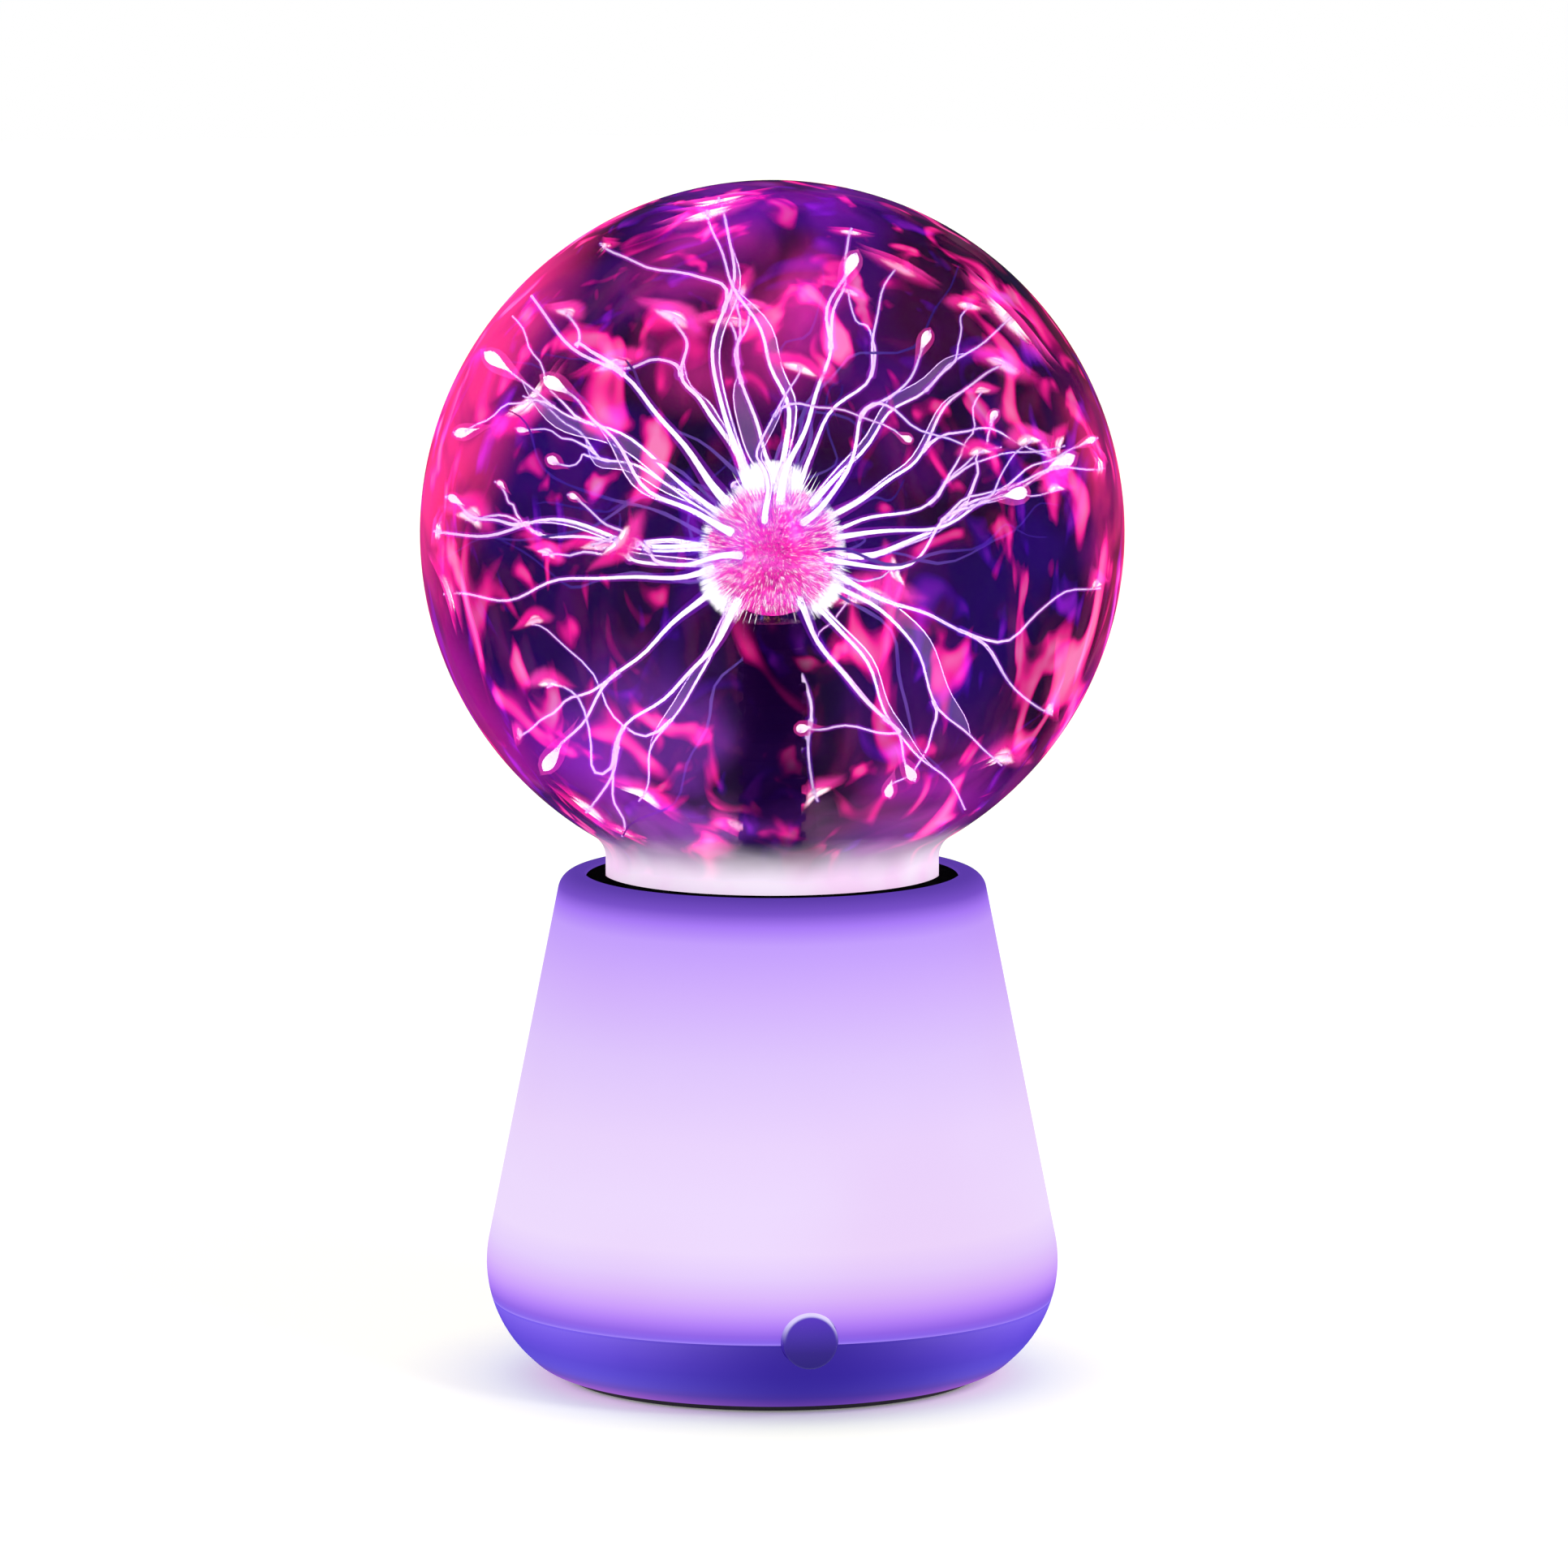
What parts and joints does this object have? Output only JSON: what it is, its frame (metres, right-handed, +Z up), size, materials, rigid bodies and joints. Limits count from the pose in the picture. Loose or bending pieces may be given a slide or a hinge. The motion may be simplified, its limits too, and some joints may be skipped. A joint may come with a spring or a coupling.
{
  "type": "plasma ball lamp",
  "caption": "Desk plasma ball: sealed glass globe with a central electrode on a conical night-light base with a push button.",
  "frame": {"origin": "middle of the face that the rubber ring stands on", "axes": "+Z up through the globe, -Y towards the push button, +Y towards the power socket"},
  "size_m": [0.12, 0.12, 0.2052],
  "materials": {
    "clear_glass": "polished, dark with the glow of the gas inside",
    "electrode_glass": "polished, softly frosted at the neck",
    "electrode_core": "conductive coat",
    "brass": "satin",
    "insulator": "gloss",
    "silicone_white": "satin",
    "silicone_red": "satin",
    "white_plastic": "moulded satin",
    "black_rubber": "matt",
    "milky_plastic": "milky, lit from inside in lilac",
    "violet_plastic": "moulded satin",
    "button_plastic": "moulded satin",
    "board_white": "solder resist",
    "board_green": "solder resist",
    "lamp": "clear lens",
    "steel": "zinc plated",
    "black_plastic": "moulded satin",
    "ferrite": "sintered",
    "bobbin_plastic": "moulded",
    "copper": "enamelled wire",
    "aluminium": "extruded",
    "capacitor_sleeve": "shrunk sleeve",
    "socket_steel": "plated",
    "lead_red": "insulation",
    "lead_black": "insulation",
    "lead_white": "insulation"
  },
  "bodies": {
    "base": {"glass_globe": "clear_glass", "electrode_glass": "electrode_glass", "exhaust_tip": "electrode_glass", "electrode_core": "electrode_core", "electrode_rod": "brass", "stem_insulator": "insulator", "high_voltage_boot": "silicone_white", "high_voltage_lead": "silicone_red", "neck_cement": "silicone_white", "globe_cup": "white_plastic", "neck_gasket": "black_rubber", "diffuser_shell": "milky_plastic", "lower_shell": "violet_plastic", "foot_ring": "black_rubber", "light_baffle": "white_plastic", "lamp_board": "board_white", "rgb_lamps": "lamp", "tie_screws": "steel", "push_switch": "black_plastic", "switch_board": "board_green", "switch_carrier": "white_plastic", "carrier_screws": "steel", "driver_board": "board_green", "driver_screws": "steel", "ferrite_core": "ferrite", "transformer_bobbin": "bobbin_plastic", "secondary_winding": "copper", "primary_winding": "copper", "heat_sink": "aluminium", "power_transistor": "black_plastic", "transistor_screw": "steel", "filter_capacitors": "capacitor_sleeve", "choke_coil": "copper", "control_chips": "black_plastic", "inlet_board": "board_green", "inlet_screws": "steel", "power_socket": "socket_steel", "socket_insert": "black_plastic", "supply_leads": "lead_red", "switch_leads": "lead_black", "lamp_leads": "lead_white"},
    "button": {"button_cap": "button_plastic", "switch_plunger": "black_plastic"}
  },
  "joints": [
    {"name": "button_press", "type": "slide", "parent": "base", "child": "button", "axis": [0, 1, 0], "range_m": [0, 0.0008], "stiffness_N_per_m": 2000, "springref_m": -0.0002}
  ]
}
